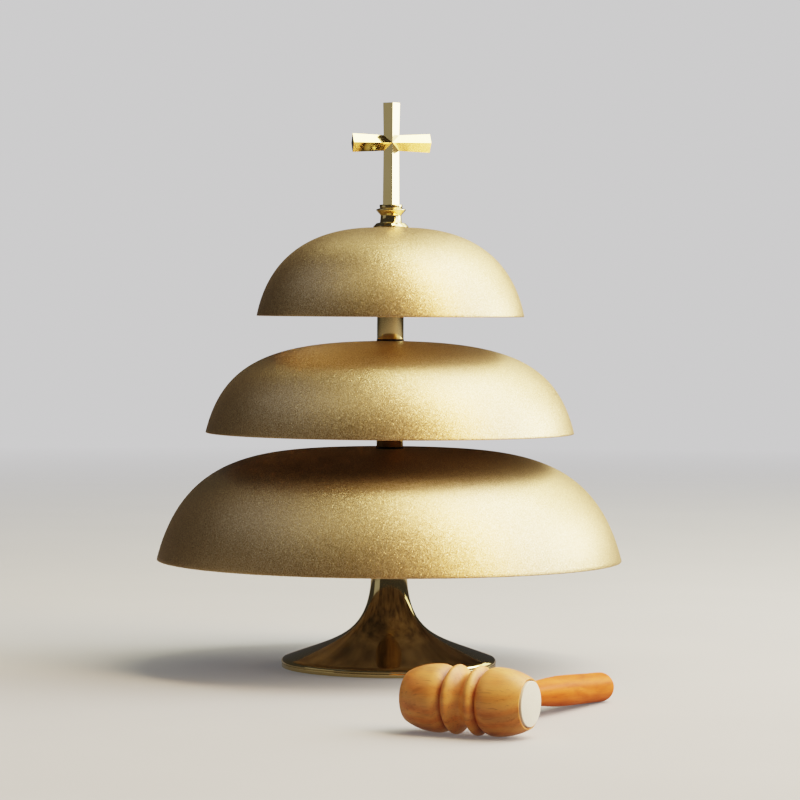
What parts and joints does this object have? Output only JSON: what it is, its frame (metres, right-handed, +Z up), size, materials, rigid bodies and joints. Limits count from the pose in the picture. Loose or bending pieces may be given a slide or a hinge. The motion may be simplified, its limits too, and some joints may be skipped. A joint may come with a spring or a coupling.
{
  "type": "sanctus bell",
  "caption": "Stack of graduated brass gongs on a flared turned stand with a cross finial, rung with a turned wooden mallet that lies beside it.",
  "frame": {"origin": "centre of the underside of the stand's felt pad, on the surface it stands on", "axes": "+Z up the post; -Y towards the front, where the mallet lies; +X to the right seen from the front"},
  "size_m": [0.28, 0.4795, 0.3397],
  "materials": {
    "satin_brass": "satin, finely bead-blasted and lacquered, with a faint sparkle",
    "polished_brass": "mirror-polished and lacquered",
    "steel": "zinc-plated machined steel",
    "cast_iron": "rough cast, painted black",
    "black_rubber": "moulded, matt",
    "felt": "pressed wool felt",
    "head_wood": "turned hardwood under satin lacquer, honey tan",
    "handle_wood": "turned hardwood under satin lacquer, orange tan",
    "white_rubber": "smooth, matt off-white"
  },
  "bodies": {
    "stand": {"felt_pad": "felt", "base_plate": "polished_brass", "base_weight": "cast_iron", "base_shell": "polished_brass", "base_nut": "steel", "base_washer": "steel", "tie_rod": "steel", "finial_knob": "polished_brass", "cross_stud": "steel", "lower_spacer_tube": "polished_brass", "middle_spacer_tube": "polished_brass", "upper_spacer_tube": "polished_brass", "cross": "polished_brass", "large_gong_lower_washer": "felt", "large_gong_upper_washer": "felt", "middle_gong_lower_washer": "felt", "middle_gong_upper_washer": "felt", "small_gong_lower_washer": "felt", "small_gong_upper_washer": "felt"},
    "large_gong": {"large_gong": "satin_brass", "large_gong_grommet": "black_rubber"},
    "middle_gong": {"middle_gong": "satin_brass", "middle_gong_grommet": "black_rubber"},
    "small_gong": {"small_gong": "satin_brass", "small_gong_grommet": "black_rubber"},
    "mallet": {"mallet_head": "head_wood", "mallet_handle": "handle_wood", "mallet_pad": "white_rubber"}
  },
  "joints": [
    {"name": "large_gong_turn", "type": "hinge", "parent": "stand", "child": "large_gong", "pos_m": [0, 0, 0.1308], "axis": [0, 0, 1], "continuous": true},
    {"name": "middle_gong_turn", "type": "hinge", "parent": "stand", "child": "middle_gong", "pos_m": [0, 0, 0.1956], "axis": [0, 0, 1], "continuous": true},
    {"name": "small_gong_turn", "type": "hinge", "parent": "stand", "child": "small_gong", "pos_m": [0, 0, 0.2636], "axis": [0, 0, 1], "continuous": true},
    {"name": "mallet_lift", "type": "slide", "parent": "stand", "child": "mallet", "axis": [0, 0, 1], "range_m": [0, 0.36]}
  ]
}
